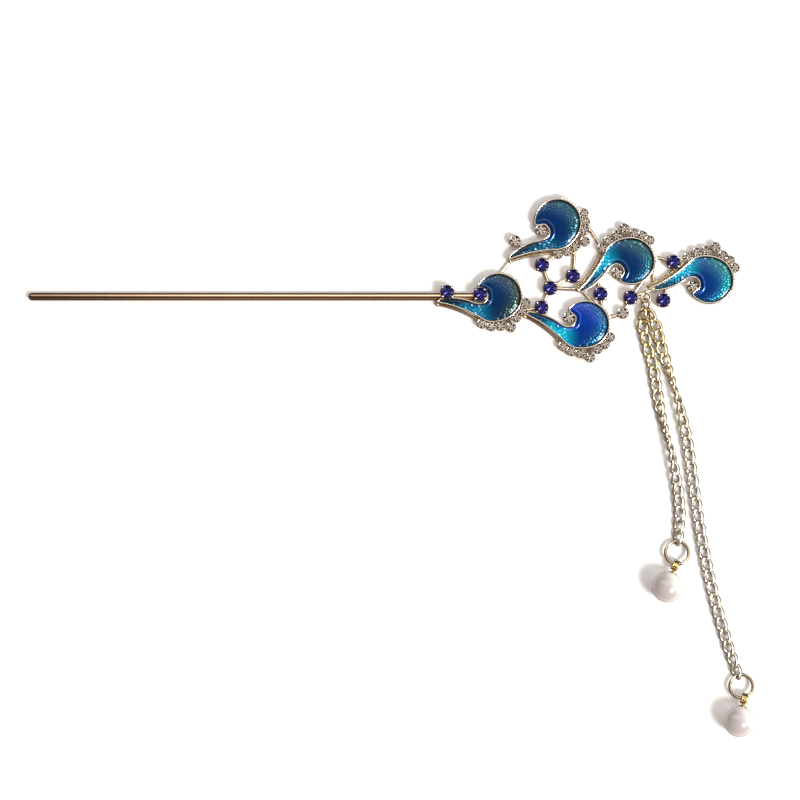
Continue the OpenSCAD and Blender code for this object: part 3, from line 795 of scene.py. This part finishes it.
# The ridge runs RIDGE_OFF head radii off the notch's edge.
RIDGE_H = 0.15
RIDGE_W = 0.045
RIDGE_OFF = 0.14
NOTCH_EDGE = np.array(bezier(EDGE[3]) + bezier(EDGE[4])[:9])
# Painted shade: a dark band this wide along the rim, darkened by this share.
GUTTER_SHADE_W = 0.36
GUTTER_SHADE_DARK = 0.9
DIMPLE_RINGS = 7.5
DIMPLE_DEPTH = 0.12
RING_STRETCH = 0.85
# A painted highlight makes a speck pale between two distances from its dimple's middle, and a few specks
# get a painted glint.
SPECK_HIGHLIGHT_R = (0.36, 0.14)
SPECK_HIGHLIGHT_MOST = 0.7
SPECK_HIGHLIGHT_GAIN = (1.6, 1.6, 1.6)
SPECK_HIGHLIGHT_LIFT = (0.012, 0.055, 0.055)
GLINT_RARITY = 3.0
GLINT = (0.7, 0.95, 0.95)
# The tones of each wave: round the notch, at the back of the head, along the tail, partly a painted
# highlight, and at its tip.
TONES = {
    "pin": ((0.0, 0.034, 0.13), (0.012, 0.03, 0.028), (0.0, 0.24, 0.46), (0.0, 0.02, 0.05)),
    "top": ((0.0, 0.03, 0.155), (0.0, 0.05, 0.075), (0.0, 0.1, 0.2), (0.0, 0.016, 0.035)),
    "mid": ((0.0, 0.036, 0.145), (0.0, 0.06, 0.075), (0.0, 0.4, 0.64), (0.0, 0.022, 0.05)),
    "end": ((0.0, 0.044, 0.24), (0.0, 0.14, 0.16), (0.0, 0.36, 0.54), (0.0, 0.045, 0.075)),
    "low": ((0.0, 0.042, 0.38), (0.0, 0.06, 0.15), (0.0, 0.62, 0.86), (0.0, 0.05, 0.1)),
}


def smooth(low, high, value):
    """A share that eases from 0 at low to 1 at high."""
    t = np.clip((value - low) / (high - low), 0, 1)
    return t * t * (3 - 2 * t)


def wave_frame(name, x, y):
    """Head radii in the wave's own frame, from places in metres."""
    at_x, at_y, turn, hand = WAVES[name]
    dx = x / MM - HEAD_X - WAVE_R * at_x
    dy = y / MM - HEAD_Y - WAVE_R * at_y
    c, s = math.cos(math.radians(turn)), math.sin(math.radians(turn))
    return (dx * c + dy * s) / WAVE_R, (dy * c - dx * s) * hand / WAVE_R


def blend(a, b, t):
    """Goes from one colour to another, by a share for each vertex."""
    return a + (np.asarray(b) - a) * t[:, None]


def enamel_colours(u, v, near, back, streak_and_highlight, tip):
    """Colour of the enamel at places in head radii, from the wave's four tones."""
    reach = np.hypot(u - 0.42, v + 0.12)
    colour = np.zeros((len(u), 3)) + near
    colour = blend(colour, back, smooth(0.45, 1.3, reach) * smooth(0.9, -0.2, u + 0.35 * v))
    middle = 0.39 * np.exp(-np.maximum(u - 1.2, 0) * 2.0) - 0.03
    outside = smooth(-0.12, 0.16, v - middle)
    # Partly painted highlight: the bright cyan along the outside of the tail is partly the enamel's tone
    # and partly a painted highlight.
    colour = blend(colour, streak_and_highlight, smooth(0.1, 1.0, u) * smooth(2.2, 1.5, u) * outside)
    return blend(colour, tip, smooth(0.8 + 0.4 * outside, 1.7 + 0.4 * outside, u) * (1 - 0.2 * outside))


def dimpled(u, v):
    """How deep the dimples are at places in head radii, and how much painted glitter they get there."""
    depth = np.maximum(smooth(0.5, 1.1, np.hypot(u - 0.35, v - 0.1)), 0.9 * smooth(0.45, 0.95, u))
    depth = np.clip(depth + 0.06, 0, 1)
    return depth, depth * (0.25 + 0.75 * smooth(-0.1, 0.6, v + 0.5 * smooth(0.4, 1.0, u)))


def length(tree, u, v):
    """How far a flat place is from the middle."""
    squares = calc(tree, "ADD", calc(tree, "MULTIPLY", u, u), calc(tree, "MULTIPLY", v, v))
    return calc(tree, "SQRT", squares)


def glaze(name):
    """Enamel with its vertex colours under a clear coat, and rings of dimples with painted highlight specks
    and glints in them.
    """
    made, tree, shader = finish(name, {
        "Metallic": 0.55, "Roughness": 0.28, "Specular IOR Level": 0.2,
        "Coat Weight": 0.5, "Coat Roughness": 0.03})
    tint = node(tree, "VertexColor", layer_name="tint").outputs["Color"]
    relief_and_glint = node(tree, "VertexColor", layer_name="relief_and_glint").outputs["Color"]
    relief_and_glint = node(tree, "SeparateXYZ", {0: relief_and_glint})
    depth, painted_glitter = relief_and_glint.outputs["X"], relief_and_glint.outputs["Y"]
    split = node(tree, "SeparateXYZ", {0: node(tree, "UVMap", uv_map="wave").outputs["UV"]})
    u, v = split.outputs["X"], split.outputs["Y"]
    round_it = calc(tree, "ARCTAN2", v, calc(tree, "MULTIPLY", u, -1.0))
    round_it = calc(tree, "MULTIPLY", round_it, RING_STRETCH)
    place = node(tree, "CombineXYZ", {0: round_it, 1: length(tree, u, v)}).outputs[0]
    dots = node(tree, "TexVoronoi", {"Vector": place, "Scale": DIMPLE_RINGS, "Randomness": 0.55},
                voronoi_dimensions="2D")
    cells = dots.outputs["Distance"]
    height = calc(tree, "MULTIPLY", cells, depth)
    dimples = node(tree, "Bump", {"Height": height, "Strength": 1.0, "Distance": DIMPLE_DEPTH * MM})
    chance = node(tree, "SeparateXYZ", {0: dots.outputs["Color"]}).outputs["X"]
    # Painted highlights: the dimples' specks are painted paler, and a few of them painted white as glints.
    glint = calc(tree, "MULTIPLY", calc(tree, "POWER", chance, GLINT_RARITY), painted_glitter)
    highlight_colour = node(tree, "VectorMath", {0: tint, 1: SPECK_HIGHLIGHT_GAIN, 2: SPECK_HIGHLIGHT_LIFT},
                operation="MULTIPLY_ADD").outputs["Vector"]
    highlight_colour = node(tree, "VectorMath", {0: glint, 1: GLINT, 2: highlight_colour},
                operation="MULTIPLY_ADD").outputs["Vector"]
    speck_highlight = calc(tree, "MULTIPLY", between(tree, cells, *SPECK_HIGHLIGHT_R, SPECK_HIGHLIGHT_MOST), depth)
    colour = node(tree, "Mix", {"Factor": speck_highlight, "A": tint, "B": highlight_colour},
                  data_type="RGBA", clamp_factor=True).outputs["Result"]
    tree.links.new(colour, shader.inputs["Base Color"])
    tree.links.new(dimples.outputs[0], shader.inputs["Normal"])
    return made


def opened_copy(name):
    """A copy of one of the part's solids, its loose triangles joined, left open in edit mode."""
    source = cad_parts[name]
    twin = source.copy()
    twin.data = source.data.copy()
    twin.parent = None
    bpy.context.collection.objects.link(twin)
    edit_all(twin)
    bpy.ops.mesh.remove_doubles(threshold=SAME_PLACE * MM)
    return twin


def places_of(mesh):
    """The mesh's vertices in metres, a row each."""
    co = np.empty(len(mesh.vertices) * 3)
    mesh.vertices.foreach_get("co", co)
    return co.reshape(-1, 3)


def flat_map(mesh, name, places):
    """A map of the mesh that gives each vertex its flat place."""
    loops = np.empty(len(mesh.loops), int)
    mesh.loops.foreach_get("vertex_index", loops)
    mesh.uv_layers.new(name=name).data.foreach_set("uv", places[loops].ravel())


def paint(mesh, name, *columns):
    """Four values for each vertex, kept as a colour."""
    layer = mesh.color_attributes.new(name, "FLOAT_COLOR", "POINT")
    layer.data.foreach_set("color", np.column_stack(columns).ravel())


def edge_gaps(co):
    """How far the open face is from the cushion's walls in millimetres, and 0 at its shoulder and below."""
    walls = np.flatnonzero((co[:, 2] > WALL_Z[0] * MM) & (co[:, 2] < WALL_Z[1] * MM))
    sides = KDTree(len(walls))
    for i in walls:
        sides.insert((co[i, 0], co[i, 1], 0), int(i))
    sides.balance()
    return np.array([sides.find((x, y, 0))[2] if z > SHOULDER_Z * MM else 0.0 for x, y, z in co]) / MM


enamel_glaze = glaze("enamel")
for name, tones in TONES.items():
    cushion = opened_copy("enamel_" + name)
    bpy.ops.object.mode_set(mode="OBJECT")
    voxels = cushion.modifiers.new("remesh", "REMESH")
    voxels.mode = "VOXEL"
    voxels.voxel_size = VOXEL * MM
    bpy.ops.object.modifier_apply(modifier="remesh")
    mesh = cushion.data
    co = places_of(mesh)
    face = co[:, 2] > FACE_Z * MM
    gaps = edge_gaps(co)
    u, v = wave_frame(name, co[:, 0], co[:, 1])
    off_notch = np.hypot(u[:, None] - NOTCH_EDGE[:, 0], v[:, None] - NOTCH_EDGE[:, 1]).min(1)
    co[face, 2] -= EDGE_DROP * MM * np.exp(-gaps[face] / EDGE_REACH)
    co[face, 2] += RIDGE_H * MM * np.exp(-((off_notch[face] - RIDGE_OFF) / RIDGE_W) ** 2)
    mesh.vertices.foreach_set("co", co.ravel())
    # Painted shade: a dark band along the enamel's rim at the back of the head, and on its walls, is
    # painted into the colour.
    gutter_shade = np.where(face, np.exp(-(gaps / GUTTER_SHADE_W) ** 2), 1.0) * smooth(0.6, -0.1, u)
    colours = enamel_colours(u, v, *[np.array(tone) for tone in tones])
    colours *= (1 - GUTTER_SHADE_DARK * gutter_shade)[:, None]
    depth, painted_glitter = dimpled(u, v)
    paint(mesh, "tint", colours, np.ones(len(u)))
    paint(mesh, "relief_and_glint", depth, painted_glitter, painted_glitter, depth)
    flat_map(mesh, "wave", np.column_stack([u, v]))
    slot = "blue_enamel" if name == "low" else "teal_enamel"
    put([cushion], "enamel_fill_" + name, enamel_glaze, slot, "enamel_" + name, angle=60)

# Cut stones
# Round cut glass stones, foiled behind, stand in the seats of their cups and are held by the claws.
# They keep the part's facets, and painted reflections of the pavilion, dark and light wedges, are painted
# into their colour.
BLUE_R = 1.75
CLEAR_R = 1.25
TRIM_R = 1.05
WEDGES = 6.0
TABLE_R = 0.55
WEDGE_H = 0.12


def gem(name, dark, light, metallic):
    """Wedges of dark and light round the middle, turned by half a wedge inside the table: painted
    reflections of the pavilion.
    """
    made, tree, shader = finish(name, {
        "Metallic": metallic, "Roughness": 0.12, "Coat Weight": 1.0, "Coat Roughness": 0.02})
    place = node(tree, "UVMap", uv_map="cut").outputs["UV"]
    split = node(tree, "SeparateXYZ", {0: place})
    u, v = split.outputs["X"], split.outputs["Y"]
    reach = length(tree, u, v)
    outside = calc(tree, "GREATER_THAN", reach, TABLE_R)
    turn = calc(tree, "MULTIPLY_ADD", outside, math.pi / WEDGES, calc(tree, "ARCTAN2", v, u))
    wedge = calc(tree, "SINE", calc(tree, "MULTIPLY", turn, WEDGES))
    height = calc(tree, "MULTIPLY", calc(tree, "MULTIPLY", reach, wedge), WEDGE_H * MM)
    facets = node(tree, "Bump", {"Height": height, "Strength": 1.0, "Distance": 1.0}).outputs[0]
    reflection_patch = node(tree, "TexNoise", {"Vector": place, "Scale": 2.6, "Detail": 0.0},
                 noise_dimensions="2D").outputs["Fac"]
    # Painted reflection: the wedges and noise patches set how dark or light the stone's colour is painted.
    reflection_amount = calc(tree, "MULTIPLY_ADD", wedge, 0.35, reflection_patch)
    middling_reflection = [(d + l) / 3 for d, l in zip(dark, light)]
    tone = ramp(tree, reflection_amount, [(0.45, dark), (0.52, middling_reflection), (0.6, light)])
    tree.links.new(tone, shader.inputs["Base Color"])
    tree.links.new(facets, shader.inputs["Normal"])
    return made


def stones(names, title, material, slot, radius, turn_step):
    """Copies of stone nodes with flat facets; each stone's flat map from above is turned its own way."""
    for name in names:
        opened_copy(name)
        bpy.ops.mesh.separate(type="LOOSE")
        bpy.ops.object.mode_set(mode="OBJECT")
        parts = list(bpy.context.selected_objects)
        for i, part in enumerate(parts):
            mesh = part.data
            for old in list(mesh.uv_layers):
                mesh.uv_layers.remove(old)
            co = places_of(mesh)[:, :2]
            co = (co - (co.min(0) + co.max(0)) / 2) / (radius * MM)
            turn = (i + 1) * turn_step + len(co)
            c, s = math.cos(turn), math.sin(turn)
            turned_co = np.column_stack([co[:, 0] * c - co[:, 1] * s, co[:, 0] * s + co[:, 1] * c])
            flat_map(mesh, "cut", turned_co)
        put(parts, title + name.split("_", 1)[1], material, slot, name, angle=1)


blue_glass = gem("blue stone", (0.002, 0.002, 0.03), (0.012, 0.014, 0.24), metallic=0.5)
clear_glass = gem("clear stone", (0.02, 0.011, 0.008), (0.68, 0.59, 0.52), metallic=0.2)
stones(BLUE, "blue_cut_", blue_glass, "blue_stone", BLUE_R, turn_step=0.7)
stones(CLEAR, "clear_cut_", clear_glass, "clear_stone", CLEAR_R, turn_step=1.1)
crest_rows = ["trim_" + name for name in WAVES]
stones(crest_rows, "trim_cut_", clear_glass, "clear_stone", TRIM_R, turn_step=0.9)

# Chains and rings
# The chains are loose links of round gilt wire, each closed through the next. They keep the part's
# places and get rounder, fuller wire, and the rings and the joining ring keep the part's shape.
# The plating is yellow at the top of the chains and wears paler down them.
LINK_FULLER = 0.3
PLATING_Y = (0.0, 32.0)


def coat(material, *names):
    """Gives solids that show as they are their material."""
    for name in names:
        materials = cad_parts[name].data.materials
        materials.clear()
        materials.append(material)


chain_gold = metal("chain gold", (0.92, 0.89, 0.77), (0.18, 0.14, 0.09), roughness=0.26, reach=1.5)
ring_gold = metal("ring gold", (0.6, 0.49, 0.34), (0.2, 0.13, 0.06), roughness=0.14)
wear_and_shade_along(chain_gold, "Y", *PLATING_Y, (1, 1, 1), (1.0, 0.88, 0.62))
for name in ("short", "long"):
    links = opened_copy("chain_" + name)
    bpy.ops.mesh.tris_convert_to_quads(face_threshold=math.pi, shape_threshold=math.pi)
    bpy.ops.object.mode_set(mode="OBJECT")
    rounder = links.modifiers.new("round", "SUBSURF")
    rounder.levels = rounder.render_levels = 2
    bpy.ops.object.modifier_apply(modifier="round")
    edit_all(links)
    bpy.ops.transform.shrink_fatten(value=LINK_FULLER * MM)
    bpy.ops.object.mode_set(mode="OBJECT")
    for vertex in links.data.vertices:
        vertex.co.z = max(vertex.co.z, cad_box[0][2])
    put([links], "links_" + name, chain_gold, "chain_gold", "chain_" + name, angle=180)
coat(ring_gold, "ring_short", "ring_long", "jump_ring")

# Pearls and caps
# Each pearl is glass with a lustrous coat, and the peg of a dished gold cap is glued into it. Its colour
# has a painted sheen that pales it toward its rim, and one side is painted lit, the rest painted shade.
# The cap has a grooved neck and a coil of three turns of wire; its heights count from the pearl's middle.
# The table gives the turn of each drop; both rise from their rings to the pearls' middles at one slope.
DROPS = {"short": -113.0, "long": -105.0}
DROP_RISE = 18.5
CAP_DISH = [(0.36, 3.99), (0.8, 3.93), (1.13, 3.84), (1.16, 3.94), (1.0, 4.12), (0.62, 4.34), (0.34, 4.44)]
CAP_NECK = [(0.3, 4.6), (0.38, 4.7), (0.3, 4.8), (0.38, 4.9), (0.3, 5.0), (0.3, 5.15), (0, 5.15)]
COIL_R = 1.2
COIL_HALF = 0.8
COIL_AT = 6.3
COIL_TURNS = 3
COIL_STEPS = 144
COIL_WIRE = 0.27
# The side of the pearls that is painted lit, and their colours in painted shade and where painted lit.
PEARL_LIT = (0.75, 0.45, -0.45)
PEARL_SHADED_TONE = (0.5, 0.45, 0.45)
PEARL_LIT_TONE = (0.94, 0.92, 0.89)


def cap_loop():
    """The coil of wire that a drop hangs by, wound about an axis across the drop."""
    points = []
    for i in range(COIL_STEPS + 1):
        turn = math.radians(360 * COIL_TURNS * i / COIL_STEPS)
        across = COIL_HALF * (2 * i / COIL_STEPS - 1)
        points.append((COIL_R * math.sin(turn), across, COIL_AT - COIL_R * math.cos(turn)))
    return wire(points, COIL_WIRE)


cap_gold = metal("cap gold", (0.8, 0.64, 0.28), (0.26, 0.16, 0.03), roughness=0.14)
for name, turn in DROPS.items():
    low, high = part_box("pearl_" + name)
    drop = [turned(CAP_DISH + CAP_NECK), cap_loop()]
    for piece in drop:
        piece.rotation_euler = (0, math.radians(90 + DROP_RISE), math.radians(turn + 180))
        piece.location = (low + high) / 2
    put(drop, "drop_cap_" + name, cap_gold, "chain_gold", "cap_" + name)

nacre, tree, shader = finish("nacre", {"Roughness": 0.3, "Coat Weight": 1.0, "Coat Roughness": 0.06})
# Painted sheen and light: the colour pales toward the rim and on the lit side, and is darker elsewhere as
# painted shade.
facing = node(tree, "LayerWeight", {"Blend": 0.35}).outputs["Facing"]
sheen = between(tree, facing, 0.2, 0.5, most=0.75)
side = node(tree, "VectorMath", {0: node(tree, "TexCoord").outputs["Normal"], 1: PEARL_LIT},
            operation="DOT_PRODUCT").outputs["Value"]
painted_light_share = calc(tree, "MAXIMUM", sheen, between(tree, side, -0.25, 0.35))
lit_and_shaded_skin = ramp(tree, painted_light_share, [(0.0, PEARL_SHADED_TONE), (1.0, PEARL_LIT_TONE)])
tree.links.new(lit_and_shaded_skin, shader.inputs["Base Color"])
coat(nacre, "pearl_short", "pearl_long")
